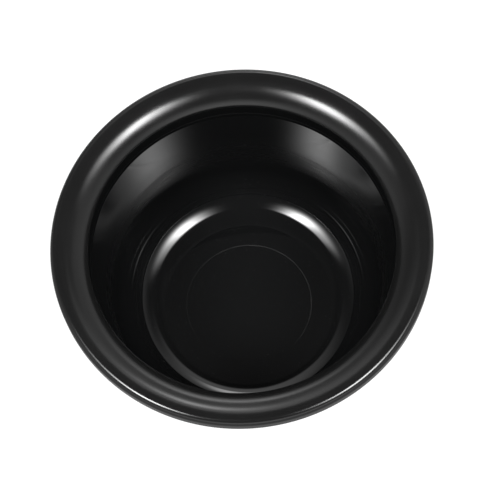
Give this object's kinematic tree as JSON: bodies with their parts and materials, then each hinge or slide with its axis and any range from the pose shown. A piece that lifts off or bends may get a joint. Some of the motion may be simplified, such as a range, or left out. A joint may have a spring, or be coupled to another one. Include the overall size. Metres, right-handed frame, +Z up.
{
  "type": "hair color bowl",
  "caption": "Round mixing bowl for hair color: glossy steep-walled shell, rolled satin rim that snaps over its flange, and a rubber grip ring pressed into its foot.",
  "frame": {"origin": "centre of the face that the bowl stands on", "axes": "+Z up along the bowl's axis of revolution, out of its mouth; +X and +Y are any two level directions, since the bowl is round"},
  "size_m": [0.13, 0.13, 0.0706],
  "materials": {
    "gloss_shell": "mirror-gloss moulded black, with fine scratches",
    "satin_rim": "satin black with a fine even grain, polished along its edges by handling",
    "grip_rubber": "matt black rubber"
  },
  "bodies": {
    "root": {"bowl_shell": "gloss_shell", "rim_ring": "satin_rim", "foot_ring": "grip_rubber"}
  },
  "joints": []
}
